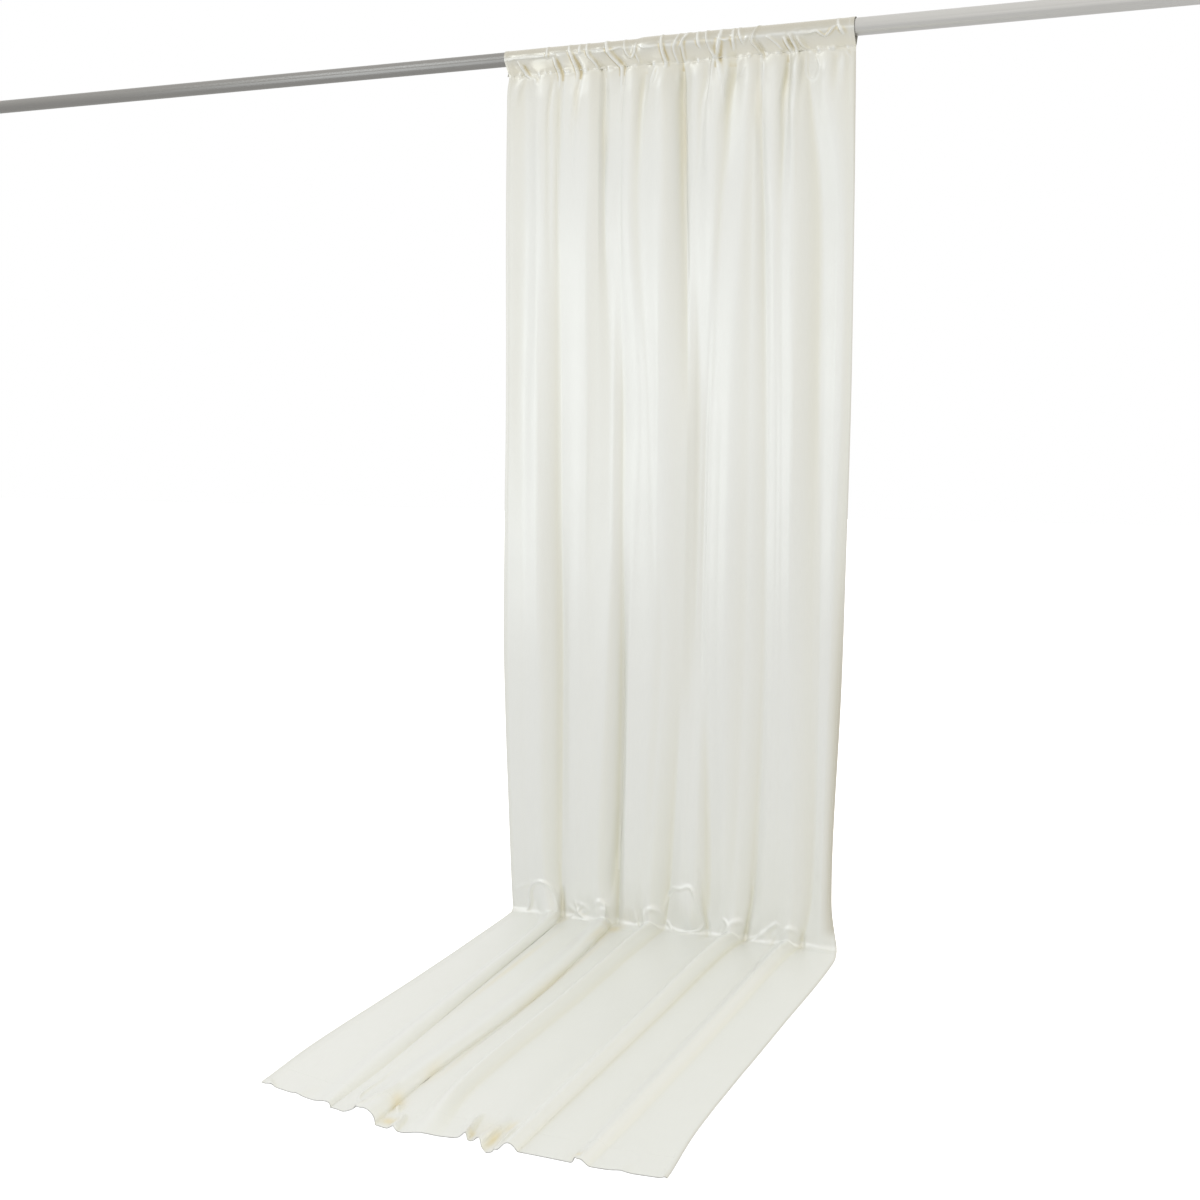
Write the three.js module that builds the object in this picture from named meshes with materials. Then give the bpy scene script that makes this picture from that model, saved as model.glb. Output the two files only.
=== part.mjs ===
// Backdrop curtain: one panel of ivory satin, gathered on a metal crossbar by its rod pocket. It hangs
// straight to the floor, turns forward there and lies as a train with five long ridges.
// Millimetres, +Z up. X runs along the crossbar, the front faces -Y and the floor is Z = 0.
import * as THREE from "three";

const crossbar = {
  axisHeight: 1950,
  leftEnd: -1880, // from the middle of the curtain
  rightEnd: 1120,
  slimDiameter: 31, // tube on the left
  wideDiameter: 35.5, // tube on the right, which the slim one slides into
  stepX: -20, // where the wide tube starts, inside the pocket
  sides: 40,
};

const cloth = {
  thickness: 1.6,
  hemExtra: 0.8, // the turned-up hem is thicker by this much
  hemDepth: 66,
  pocketClearance: 1.2, // from the tube to the inside of the pocket
  stitchHeight: 1912, // the seam that closes the pocket
  seamHeight: 4, // where the layers lie together above it
  seamPinch: 0.3, // share of the fold depth left at that seam
  seamFade: 90, // drop over which the folds open to their full depth
  pocketPuff: 0.2, // share of the fold depth that bulges out over the tube
  gatherDepth: 3, // the small gathers at the heading, out and in on alternate columns
  gatherFade: 130, // drop over which they die out
  gatherCalm: 290, // beyond this from the middle the heading lies smooth
  bendRadius: 24, // where the panel turns on to the floor
  tightestBend: 5,
  ridgeHeight: 30, // full height of the train's ridges, where their overhang is full too
};

// Stations where the table of folds states its sizes: heights on the hanging part, then distances in
// front of the crossbar on the floor. The last one is the hem.
const heights = [1870, 1600, 1200, 600, 110];
const runs = [70, 480, 900, 1090];

// One row for each fold line, from the left edge to the right one. x is its place and depth how far it
// stands forward of the panel's plane, or above the floor, at each station. run is how far forward it
// meets the hem, and steps how many columns lie between it and the next line.
const foldLines = [
  { name: "leftEdge", run: 1034, steps: 2,
    x: [-386, -389, -394, -403, -390, -384, -386, -398, -391],
    depth: [2, 2, 2, 0, 2, 0, 0, 0, 0] },
  { name: "ridge1Left", run: 1060, steps: 2,
    x: [-346, -344, -350, -352, -350, -300, -290, -287, -275],
    depth: [-3, -3, -2, 2, 3, 0, 0, 0, 0] },
  { name: "ridge1Crest", run: 1070, steps: 2,
    x: [-300, -300, -312, -306, -304, -276, -262, -256, -235],
    depth: [6, 6, 6, 6, 8, 28, 26, 20, 8] },
  { name: "ridge1Right", run: 1075, steps: 2, overhang: 7, sharp: 0.5,
    x: [-262, -261, -256, -252, -262, -252, -238, -222, -200],
    depth: [0, 0, -6, -11, -9, 0, 0, 0, 0] },
  { name: "pane1", run: 1076, steps: 2,
    x: [-190, -194, -198, -206, -214, -215, -205, -205, -185],
    depth: [6, 9, 6, 1, 4, 0, 0, 0, 0] },
  { name: "ridge2Left", run: 1082, steps: 2,
    x: [-164, -162, -164, -170, -192, -185, -176, -184, -165],
    depth: [1, 4, 3, 2, 7, 0, 0, 0, 0] },
  { name: "ridge2Crest", run: 1096, steps: 2,
    x: [-148, -147, -130, -136, -164, -150, -134, -146, -140],
    depth: [-4, -3, 0, 4, 9, 30, 30, 24, 14] },
  { name: "ridge2Right", run: 1104, steps: 2, overhang: 8, sharp: 0.9,
    x: [-108, -110, -106, -99, -116, -122, -106, -118, -115],
    depth: [2, 5, -4, -16, -17, 0, 0, 0, 0] },
  { name: "pane2", run: 1110, steps: 2,
    x: [-90, -93, -62, -60, -84, -95, -91, -100, -92],
    depth: [5, 8, 6, 0, 4, 0, 0, 0, 0] },
  { name: "ridge3Left", run: 1112, steps: 2,
    x: [-66, -70, -44, -36, -62, -74, -76, -82, -70],
    depth: [0, 5, 8, 2, 8, 0, 0, 0, 0] },
  { name: "ridge3Crest", run: 1108, steps: 2,
    x: [-20, -16, -14, -8, -38, -38, -42, -54, -38],
    depth: [9, 15, 13, 1, 10, 27, 25, 20, 9] },
  { name: "ridge3Right", run: 1100, steps: 1, sharp: 0.6,
    x: [28, 37, 40, 34, 6, -2, -10, -22, 0],
    depth: [-7, -5, 5, -4, -8, 0, 0, 0, 0] },
  { name: "pane3", run: 1096, steps: 2,
    x: [82, 52, 70, 62, 40, 36, 34, 28, 36],
    depth: [2, 1, -4, -8, 4, 0, 0, 0, 0] },
  { name: "valley3", run: 1104, steps: 2,
    x: [96, 102, 84, 78, 72, 78, 72, 66, 68],
    depth: [6, 12, -4, -8, 9, 0, 0, 0, 0] },
  { name: "pane4", run: 1122, steps: 2,
    x: [142, 120, 100, 92, 102, 96, 90, 84, 84],
    depth: [-4, 8, -1, -6, -3, 0, 0, 0, 0] },
  { name: "ridge4Left", run: 1118, steps: 2,
    x: [172, 160, 146, 138, 136, 112, 104, 96, 96],
    depth: [4, 10, 8, 4, 5, 0, 0, 0, 0] },
  { name: "ridge4Crest", run: 1110, steps: 2,
    x: [187, 187, 190, 184, 162, 148, 136, 126, 122],
    depth: [3, 5, 4, -1, 5, 30, 28, 22, 12] },
  { name: "ridge4Right", run: 1103, steps: 2, sharp: 0.6,
    x: [199, 209, 222, 226, 202, 180, 168, 156, 150],
    depth: [-1, -3, -1, -6, -8, 0, 0, 0, 0] },
  { name: "pane5", run: 1103, steps: 1,
    x: [228, 231, 246, 246, 232, 216, 204, 190, 188],
    depth: [3, 5, 5, -1, 3, 0, 0, 0, 0] },
  { name: "ridge5Left", run: 1104, steps: 2,
    x: [257, 249, 256, 260, 256, 244, 234, 216, 212],
    depth: [-4, 3, 6, 0, 4, 0, 0, 0, 0] },
  { name: "ridge5Crest", run: 1108, steps: 2,
    x: [275, 271, 280, 283, 290, 278, 266, 250, 244],
    depth: [5, 8, 11, 3, 8, 28, 26, 20, 11] },
  { name: "ridge5Right", run: 1106, steps: 2, sharp: 0.5,
    x: [298, 330, 342, 345, 334, 308, 297, 282, 272],
    depth: [-3, -9, -6, -5, -8, 0, 0, 0, 0] },
  { name: "pane6", run: 1103, steps: 2,
    x: [342, 376, 384, 368, 354, 348, 342, 334, 332],
    depth: [5, 1, 3, -3, -3, 0, 0, 0, 0] },
  { name: "rightEdge", run: 1098, steps: 0,
    x: [397, 399, 400, 392, 378, 401, 390, 378, 386],
    depth: [-4, -5, -4, -14, -14, 0, 0, 0, 0] },
];

// Rows of the mesh: heights down the panel, shares of the way round the bend, distances along the floor.
const rowHeights = [1896, 1870, 1830, 1760, 1650, 1500, 1320, 1120, 900, 700, 500, 330, 200, 110, 66];
const bendShares = [0, 0.28, 0.52, 0.76, 1];
const rowRuns = [64, 110, 190, 300, 420, 540, 660, 770, 860, 930, 980];
const hemShares = [0, 0.5, 1];
const pocketSteps = { straight: 2, round: 8 };

// A smooth curve through the values at rising places.
function curveThrough(places, values, at) {
  const last = places.length - 1;
  const slope = (i) => {
    const a = Math.max(i - 1, 0);
    const b = Math.min(i + 1, last);
    return (values[b] - values[a]) / (places[b] - places[a]);
  };
  if (at <= places[0]) return values[0];
  if (at >= places[last]) return values[last];
  const i = places.findIndex((p, k) => k < last && at <= places[k + 1]);
  const gap = places[i + 1] - places[i];
  const t = (at - places[i]) / gap;
  const t2 = t * t;
  const t3 = t2 * t;
  return (
    values[i] * (2 * t3 - 3 * t2 + 1) +
    slope(i) * gap * (t3 - 2 * t2 + t) +
    values[i + 1] * (3 * t2 - 2 * t3) +
    slope(i + 1) * gap * (t3 - t2)
  );
}

// Length along the cloth from the pocket seam, which the stations are placed by.
const bendLength = (Math.PI / 2) * cloth.bendRadius;
const wayOfHeight = (z) => cloth.stitchHeight - z;
const wayOfRun = (run) => cloth.stitchHeight - 2 * cloth.bendRadius + bendLength + run;
const stationWays = [...heights.map(wayOfHeight), ...runs.map(wayOfRun)];

const smooth = (t) => t * t * (3 - 2 * t);
const clamp01 = (t) => Math.min(Math.max(t, 0), 1);

// Share of the fold depth at a way below the seam: pinched there, full a hand's width lower.
function opening(way) {
  return cloth.seamPinch + (1 - cloth.seamPinch) * smooth(clamp01(way / cloth.seamFade));
}

// How strong the heading's gathers are at a place: none near the side edges.
const gatherShare = (x) => 1 - smooth(clamp01((Math.abs(x) - cloth.gatherCalm) / 40));

// Place and depth of every column at one way: the fold lines and the columns between them.
function sectionAt(way) {
  const lines = foldLines.map((line) => ({
    x: curveThrough(stationWays, line.x, way),
    depth: curveThrough(stationWays, line.depth, way) * opening(way),
    run: line.run,
    sharp: line.sharp ?? 0,
    overhang: line.overhang ?? 0,
    steps: line.steps,
  }));
  const kneeWay = wayOfHeight(heights[heights.length - 1]);
  const onFloor = smooth(clamp01((way - kneeWay) / (wayOfRun(runs[0]) - kneeWay)));
  const columns = [];
  lines.forEach((a, i) => {
    const b = lines[i + 1];
    if (!b) {
      columns.push({ x: a.x, depth: a.depth, run: a.run });
      return;
    }
    for (let k = 0; k < a.steps; k++) {
      const t = k / a.steps;
      const rise = b.depth - a.depth;
      const steepStart = 1.5 * a.sharp * (t ** 3 - 2 * t ** 2 + t);
      const steepEnd = 1.5 * b.sharp * (t ** 3 - t ** 2);
      const depth = a.depth + rise * (smooth(t) + steepStart + steepEnd);
      const lean = b.overhang * onFloor * clamp01(-rise / cloth.ridgeHeight);
      columns.push({
        x: a.x + (b.x - a.x) * t + lean * Math.sin(Math.PI * t),
        depth,
        run: a.run + (b.run - a.run) * t,
      });
    }
  });
  const fade = 1 - smooth(clamp01(way / cloth.gatherFade));
  columns.forEach((c, j) => {
    const sign = j % 2 ? 1 : -1;
    c.gather = sign * cloth.gatherDepth * gatherShare(c.x);
    c.depth += c.gather * fade;
  });
  return columns;
}

const hangingPoint = (c, z) => new THREE.Vector3(c.x, -c.depth, z);

// Middle surface of the cloth, one row of points for each level from the seam to the hem.
function panelRows() {
  const floorGap = cloth.thickness / 2;
  const rows = [];
  const knee = heights[heights.length - 1];
  rows.push(sectionAt(0).map((c) => hangingPoint(c, cloth.stitchHeight)));
  for (const z of rowHeights) {
    rows.push(
      sectionAt(wayOfHeight(z)).map((c) => {
        const cornerHeight = Math.max(cloth.bendRadius, c.depth + cloth.tightestBend);
        const lift = z < knee ? Math.max(cornerHeight - cloth.bendRadius, 0) * (1 - z / knee) : 0;
        return hangingPoint(c, z + lift);
      }),
    );
  }
  for (const share of bendShares) {
    const angle = (share * Math.PI) / 2;
    rows.push(
      sectionAt(wayOfHeight(cloth.bendRadius) + share * bendLength).map((c) => {
        const radius = Math.max(cloth.bendRadius - c.depth, cloth.tightestBend);
        const corner = c.depth + radius;
        const y = -corner + radius * Math.cos(angle);
        const z = corner - radius * Math.sin(angle);
        return new THREE.Vector3(c.x, y, Math.max(z, floorGap));
      }),
    );
  }
  const hemRun = runs[runs.length - 1];
  const floorRows = [...rowRuns, ...hemShares.map((share) => hemRun - cloth.hemDepth * (1 - share))];
  for (const run of floorRows) {
    rows.push(
      sectionAt(wayOfRun(run)).map((c) => {
        const y = -run - (c.run - hemRun) * smooth(run / hemRun);
        return new THREE.Vector3(c.x, y, Math.max(c.depth, 0) + floorGap);
      }),
    );
  }
  return rows;
}

// Unit normals of a grid of points, on the side of the cloth's face.
function gridNormals(rows) {
  return rows.map((row, i) =>
    row.map((_, j) => {
      const up = rows[Math.max(i - 1, 0)][j];
      const down = rows[Math.min(i + 1, rows.length - 1)][j];
      const left = row[Math.max(j - 1, 0)];
      const right = row[Math.min(j + 1, row.length - 1)];
      const along = right.clone().sub(left);
      return along.cross(up.clone().sub(down)).normalize();
    }),
  );
}

// Half of the bar's diameter that the pocket allows for, eased well before the step between its tubes.
function barRadius(x) {
  const share = smooth(clamp01((x - crossbar.stepX + 60) / 20));
  return (crossbar.slimDiameter + (crossbar.wideDiameter - crossbar.slimDiameter) * share) / 2;
}

// The way round the pocket from its seam up the front and down the back: points at a distance off the bar.
function pocketSection(seam, offBar, puff) {
  const x = seam.x;
  const radius = barRadius(x) + offBar;
  const drop = crossbar.axisHeight - seam.z;
  const tangent = Math.acos(Math.min(radius / drop, 0.98));
  const points = [];
  const ringPoint = (angle) => {
    const bulge = puff * Math.sin(clamp01(angle / Math.PI) * Math.PI);
    const r = radius + Math.max(bulge, 0);
    return new THREE.Vector3(x, -r * Math.sin(angle), crossbar.axisHeight - r * Math.cos(angle));
  };
  const first = ringPoint(tangent);
  const last = ringPoint(2 * Math.PI - tangent);
  for (let k = 0; k <= pocketSteps.straight - 1; k++) {
    points.push(seam.clone().lerp(first, k / pocketSteps.straight));
  }
  for (let k = 0; k <= pocketSteps.round; k++) {
    points.push(ringPoint(tangent + ((2 * Math.PI - 2 * tangent) * k) / pocketSteps.round));
  }
  for (let k = 1; k <= pocketSteps.straight; k++) {
    points.push(last.clone().lerp(seam, k / pocketSteps.straight));
  }
  return points;
}

// The one-piece cloth: a closed skin round the panel and the pocket, with the tunnel for the bar.
function curtainGeometry() {
  const middle = panelRows();
  const normals = gridNormals(middle);
  const columnCount = middle[0].length;
  const hemStart = middle.length - hemShares.length;
  const side = (sign) =>
    middle.map((row, i) =>
      row.map((p, j) => {
        const extra = i > hemStart ? cloth.hemExtra : 0;
        const half = cloth.thickness / 2 + (sign > 0 ? extra : 0);
        const q = p.clone().addScaledVector(normals[i][j], sign * half);
        q.z = Math.max(q.z, 0);
        return q;
      }),
    );
  const front = side(1);
  const back = side(-1);
  const heading = sectionAt(0);
  const inner = [];
  const outer = [];
  middle[0].forEach((p, j) => {
    const { depth, gather } = heading[j];
    const fold = Math.max(depth - gather, 0) / cloth.seamPinch;
    const puff = fold * cloth.pocketPuff + Math.max(gather, 0);
    const tunnelFloor = new THREE.Vector3(p.x, p.y, p.z + cloth.seamHeight);
    inner.push(pocketSection(tunnelFloor, cloth.pocketClearance, puff));
    outer.push(pocketSection(p, cloth.pocketClearance + cloth.thickness, puff));
  });
  const loop = outer[0].length - 1;
  const skin = [...front].reverse();
  for (let k = 1; k < loop; k++) skin.push(outer.map((column) => column[k]));
  skin.push(...back);
  const tunnel = [];
  for (let k = 0; k < loop; k++) tunnel.push(inner.map((column) => column[k]));

  const points = [];
  const number = (rows) => rows.map((row) => row.map((p) => points.push(p) - 1));
  const skinIds = number(skin);
  const tunnelIds = number(tunnel);
  const faces = [];
  const quad = (a, b, c, d) => {
    if (points[a].distanceTo(points[c]) < points[b].distanceTo(points[d])) {
      faces.push([a, b, c], [a, c, d]);
    } else {
      faces.push([a, b, d], [b, c, d]);
    }
  };
  const wrap = (rows, i) => rows[i % rows.length];
  for (let i = 0; i < skinIds.length; i++) {
    const low = skinIds[i];
    const high = wrap(skinIds, i + 1);
    for (let j = 0; j < columnCount - 1; j++) quad(low[j], low[j + 1], high[j + 1], high[j]);
  }
  for (let i = 0; i < tunnelIds.length; i++) {
    const low = tunnelIds[i];
    const high = wrap(tunnelIds, i + 1);
    for (let j = 0; j < columnCount - 1; j++) quad(high[j], high[j + 1], low[j + 1], low[j]);
  }
  const panelCount = front.length;
  const cap = (j, flip) => {
    const face = (a, b, c) => faces.push(flip ? [c, b, a] : [a, b, c]);
    const band = (a, b, c, d) => {
      face(a, b, c);
      face(a, c, d);
    };
    const frontId = (i) => skinIds[panelCount - 1 - i][j];
    const backId = (i) => skinIds[panelCount - 1 + loop + i][j];
    const outerId = (k) => skinIds[panelCount - 1 + k][j];
    const innerId = (k) => wrap(tunnelIds, k)[j];
    for (let i = 0; i < panelCount - 1; i++) band(frontId(i), backId(i), backId(i + 1), frontId(i + 1));
    face(frontId(0), innerId(0), backId(0));
    for (let k = 0; k < loop; k++) band(outerId(k), outerId(k + 1), innerId(k + 1), innerId(k));
  };
  cap(0, false);
  cap(columnCount - 1, true);

  const geometry = new THREE.BufferGeometry();
  geometry.setAttribute("position", new THREE.Float32BufferAttribute(points.flatMap((p) => p.toArray()), 3));
  geometry.setIndex(faces.flat());
  geometry.computeVertexNormals();
  return geometry;
}

// The crossbar: a slim tube that slides into a wide one, both closed by flat plugs.
function crossbarGeometry() {
  const slim = crossbar.slimDiameter / 2;
  const wide = crossbar.wideDiameter / 2;
  const profile = [
    [0, crossbar.leftEnd],
    [slim, crossbar.leftEnd],
    [slim, crossbar.stepX],
    [wide, crossbar.stepX],
    [wide, crossbar.rightEnd],
    [0, crossbar.rightEnd],
  ];
  const points = profile.map(([r, along]) => new THREE.Vector2(r, along));
  return new THREE.LatheGeometry(points, crossbar.sides);
}

const satin = new THREE.MeshStandardMaterial({ color: 0xe6e2d4, roughness: 0.42, metalness: 0 });
const steel = new THREE.MeshStandardMaterial({ color: 0xb9b8b6, roughness: 0.3, metalness: 0.9 });

const curtain = new THREE.Mesh(curtainGeometry(), satin);
curtain.name = "curtain";

const bar = new THREE.Mesh(crossbarGeometry(), steel);
bar.name = "crossbar";
bar.rotation.z = -Math.PI / 2;
bar.position.z = crossbar.axisHeight;

// The origin is the middle of the footprint, on the floor.
const part = new THREE.Group();
part.add(bar, curtain);
part.updateMatrixWorld(true);
const centre = new THREE.Box3().setFromObject(part, true).getCenter(new THREE.Vector3());
part.position.set(-centre.x, -centre.y, 0);

export default part;
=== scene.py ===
import math
import bpy
import numpy as np
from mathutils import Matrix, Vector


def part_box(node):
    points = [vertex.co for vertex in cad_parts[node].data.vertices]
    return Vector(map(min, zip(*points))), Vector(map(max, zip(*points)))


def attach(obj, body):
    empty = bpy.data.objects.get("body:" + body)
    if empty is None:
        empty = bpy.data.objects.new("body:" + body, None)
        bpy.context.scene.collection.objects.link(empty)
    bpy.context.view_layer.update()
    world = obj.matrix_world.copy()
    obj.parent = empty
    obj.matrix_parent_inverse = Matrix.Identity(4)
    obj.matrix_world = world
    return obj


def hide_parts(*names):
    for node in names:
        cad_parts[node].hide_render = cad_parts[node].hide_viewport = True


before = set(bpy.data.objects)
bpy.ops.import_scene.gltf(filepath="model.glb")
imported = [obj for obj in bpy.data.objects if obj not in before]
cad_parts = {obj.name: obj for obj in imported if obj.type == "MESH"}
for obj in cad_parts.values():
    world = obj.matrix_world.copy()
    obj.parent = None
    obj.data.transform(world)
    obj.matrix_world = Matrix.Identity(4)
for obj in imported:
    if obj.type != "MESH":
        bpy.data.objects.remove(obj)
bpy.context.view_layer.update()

# Satin backdrop panel on a telescoping crossbar: it hangs by its rod pocket, turns forward at the floor
# and lies there as a train with five ridges. Metres. In the curtain's own coordinates, x is 0 at its
# middle, y is 0 at the crossbar's axis with the front facing -y, and the floor is z = 0.

mm = 0.001

barLow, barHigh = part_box("crossbar")
bar = {
    "leftEnd": -1.880,  # from the middle of the curtain
    "slimRadius": 0.0155,
    "wideRadius": 0.01775,
    "stepX": -0.020,
    "stepEase": 0.020,
    "stepLead": 0.060,
}
bar["height"] = (barLow.z + barHigh.z) / 2
origin = np.array([barLow.x - bar["leftEnd"], (barLow.y + barHigh.y) / 2, 0.0])

cloth = {
    "flatWidth": 0.90,
    "flatLength": 3.15,
    "thickness": 1.0 * mm,
    "stitchHeight": 1.912,  # the seam that closes the pocket
    "headingDepth": 0.110,  # how far below that seam the heading is a piece of its own
    "seamPinch": 0.45,  # share of the fold depth left at that seam
    "seamFade": 0.060,  # drop over which the folds open to their full depth
    "bendRadius": 0.016,  # where the panel turns on to the floor
    "tightestBend": 0.005,
    "bendSpread": 0.080,  # run over which a ridge's head eases back to its place
    "ridgeHeight": 0.030,  # full height of the ridges, where their overhang is full too
    "sharpSlope": 1.5,  # how much steeper a fold's side meets a line that is fully sharp
    "hemDepth": 0.070,
    "hemStep": 0.4 * mm,  # the turned-up hem stands proud by this much
    "sideHem": 0.010,
    "floorSoft": 0.5 * mm,  # creases flatten out over this much above the floor
    "columnPitch": 1.4 * mm,
    "columnSpare": 1.04,
}


def smooth(t):
    return t * t * (3 - 2 * t)


def share(value, start, end):
    return np.clip((value - start) / (end - start), 0, 1)


def softFloor(height, least, soft=2.0 * mm):
    # height, but rounded off so that it never drops below least
    over = (height - least) / soft
    return least + soft * np.logaddexp(0, over)


# A smooth curve through the values at rising places, read at many points at once
def curveThrough(places, values, at):
    places, values = np.asarray(places, float), np.asarray(values, float)
    slopes = np.gradient(values, places)
    last = len(places) - 1
    slopes[1:last] = (values[2:] - values[:-2]) / (places[2:] - places[:-2])
    at = np.clip(at, places[0], places[-1])
    i = np.clip(np.searchsorted(places, at, side="right") - 1, 0, last - 1)
    gap = places[i + 1] - places[i]
    t = (at - places[i]) / gap
    return (
        values[i] * (2 * t**3 - 3 * t**2 + 1)
        + slopes[i] * gap * (t**3 - 2 * t**2 + t)
        + values[i + 1] * (3 * t**2 - 2 * t**3)
        + slopes[i + 1] * gap * (t**3 - t**2)
    )


halfThick = cloth["thickness"] / 2

# Length along the cloth from the pocket seam
bendRadius = cloth["bendRadius"]
bendLength = math.pi / 2 * bendRadius
bendStart = cloth["stitchHeight"] - bendRadius


def wayOfHeight(z):
    return cloth["stitchHeight"] - z


def wayOfRun(run):
    return bendStart - bendRadius + bendLength + run


# Stations of the table of folds: heights up the panel, then runs along the floor
heights = [1.870, 1.600, 1.200, 0.900, 0.600, 0.110]
runs = [0.070, 0.480, 0.900, 1.090]
stationWays = [wayOfHeight(z) for z in heights] + [wayOfRun(r) for r in runs]
hemRun = runs[-1]

# The folds' lines, left to right, in millimetres: how far forward a line meets the hem, how far the side
# that comes down to it overhangs, how sharp it is from 0 to 1, its places across at the stations, and how
# far it stands forward of the panel's plane, or above the floor, there. Zeros at the end are left out.
foldLines = [
    # Left edge
    (1034, 0, 0, [-386, -391, -394, -401, -405, -390, -384, -386, -398, -391],
     [2, 2, 2, 0.8, 0, 2]),
    # First ridge: its left side, crest and right side, then the pane beside it
    (1060, 0, 0, [-346, -346, -355, -358, -358, -352, -300, -288, -282, -275],
     [-5.5, -4.6, -2.8, 0.5, 3.5, 3.4]),
    (1070, 0, 0, [-300, -302, -318, -318, -314, -307, -269, -255, -248, -235],
     [8.9, 6.7, 6.8, 7.8, 8.9, 9.4, 18, 16, 12, 8]),
    (1075, 10, 0.9, [-262, -263, -264, -265, -265, -266, -252, -238, -222, -226],
     [-0.7, -0.8, -7.7, -11.6, -14, -11]),
    (1076, 0, 0, [-190, -196, -203, -209, -214, -216, -215, -205, -212, -214],
     [8.9, 10.4, 6.8, 4, 2.2, 4.6]),
    # Second ridge and pane
    (1080, 0, 0.5, [-168, -169, -169, -174, -180, -194, -180, -170, -190, -200],
     [0.9, 4.2, 3.1, 2.9, 3.5, 8.2]),
    (1088, 0, 0, [-152, -154, -135, -139, -148, -169, -139, -124, -146, -152],
     [-7.1, -4.6, -0.4, 2, 6.2, 10.6, 20, 18, 17, 19]),
    (1104, 10, 0.9, [-108, -112, -110, -111, -113, -122, -122, -106, -126, -122],
     [2.5, 5.4, -5.2, -6, -18.3, -20.6]),
    (1110, 0, 0, [-90, -95, -67, -78, -92, -100, -95, -91, -100, -92],
     [7.3, 9.2, 6.8, 3.2, -0.6, 4.2]),
    # Third ridge and pane
    (1112, 0, 0, [-66, -72, -49, -43, -42, -64, -70, -72, -80, -70],
     [-0.7, 5.4, 9.1, 6.1, 4.8, 9.4]),
    (1108, 0, 0, [-20, -20, -19, -15, -14, -40, -38, -42, -54, -38],
     [13.7, 17.9, 15.2, 7.8, 2.2, 11.8, 24, 22, 17, 5]),
    (1100, 0, 0.6, [24, 32, 40, 36, 28, 4, -12, -19, -31, 0],
     [-11.9, -7.1, 5.5, 1.7, -4.6, -9.8]),
    (1096, 0, 0, [82, 50, 70, 66, 56, 38, 36, 34, 28, 36],
     [2.5, 0.4, -5.2, -9.1, -10, 4.6]),
    # A valley and its pane
    (1106, 0, 0, [96, 100, 84, 77, 72, 70, 78, 72, 66, 68],
     [8.9, 14.2, -5.2, -10.5, -10, 10.6, 0, 0, 0, 5]),
    (1124, 0, 0, [142, 118, 95, 88, 86, 100, 96, 90, 84, 90],
     [-7.1, 9.2, -1.6, -5.5, -7.3, -3.8]),
    # Fourth ridge and pane
    (1121, 0, 0, [172, 158, 141, 135, 132, 134, 116, 106, 98, 99],
     [5.7, 11.7, 9.1, 7.5, 6.2, 5.8]),
    (1110, 0, 0, [187, 185, 185, 183, 178, 160, 148, 136, 126, 120],
     [4.1, 5.4, 4.3, 1.4, -0.5, 5.8, 27, 24, 18, 17]),
    (1103, 4, 0.8, [199, 207, 217, 221, 220, 200, 171, 158, 142, 136],
     [-2.3, -4.6, -1.6, -4.1, -7.3, -9.8]),
    (1103, 0, 0, [228, 229, 241, 242, 240, 230, 216, 204, 190, 188],
     [4.1, 5.4, 5.5, 2.2, -0.5, 3.4]),
    # Fifth ridge and pane
    (1104, 0, 0, [257, 247, 251, 253, 254, 254, 248, 238, 222, 226],
     [-7.1, 2.9, 6.8, 3.8, 0.8, 4.6]),
    (1108, 0, 0, [275, 269, 275, 276, 277, 288, 280, 268, 252, 244],
     [7.3, 9.2, 12.8, 8.8, 4.9, 9.4, 21, 18, 14, 12]),
    (1106, 0, 0.2, [298, 328, 334, 337, 339, 332, 302, 290, 274, 262],
     [-5.5, -12.1, -7.7, -6.2, -5.9, -9.8]),
    (1103, 0, 0, [342, 374, 378, 371, 362, 352, 348, 342, 334, 332],
     [7.3, 0.4, 3.1, 0.2, -3.2, -3.8]),
    # Right edge
    (1098, 0, 0, [397, 399, 400, 395, 389, 375, 401, 390, 378, 386],
     [-4, -5, -4, -9, -14, -14]),
]

hemRuns, overhangs, sharpness, linePlaces, lineDepths = zip(*foldLines)
lineDepths = [depth + [0] * (len(stationWays) - len(depth)) for depth in lineDepths]

# Row spacing down the cloth: way from the seam, and the spacing there in millimetres
rowSpacing = [
    (0.000, 2.9), (0.060, 3.3), (0.110, 4.1), (0.130, 6.0), (0.260, 14.0), (0.450, 28.0), (1.500, 28.0),
    (1.600, 9.0), (1.770, 6.0), (1.800, 2.9), (1.955, 2.9), (1.975, 6.0), (2.060, 11.0), (2.200, 20.0),
    (2.700, 20.0), (2.820, 7.0), (2.905, 3.4), (3.100, 3.0),
]
fineColumns, middleColumns, coarseColumns = 1, 2, 4  # how many columns a step across takes


def rowWays(end):
    ways = [0.0]
    places = [w for w, _ in rowSpacing]
    steps = [s * mm for _, s in rowSpacing]
    while ways[-1] < end:
        ways.append(ways[-1] + float(np.interp(ways[-1], places, steps)))
    return np.array(ways) * end / ways[-1]


# Columns between each pair of fold lines, a multiple of the coarse step
def columnSteps():
    steps = []
    for width in np.hypot(np.diff(linePlaces, axis=0), np.diff(lineDepths, axis=0)).mean(axis=1):
        columns = width * cloth["columnSpare"] * mm / cloth["columnPitch"]
        steps.append(coarseColumns * max(1, round(columns / coarseColumns)))
    return steps


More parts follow.
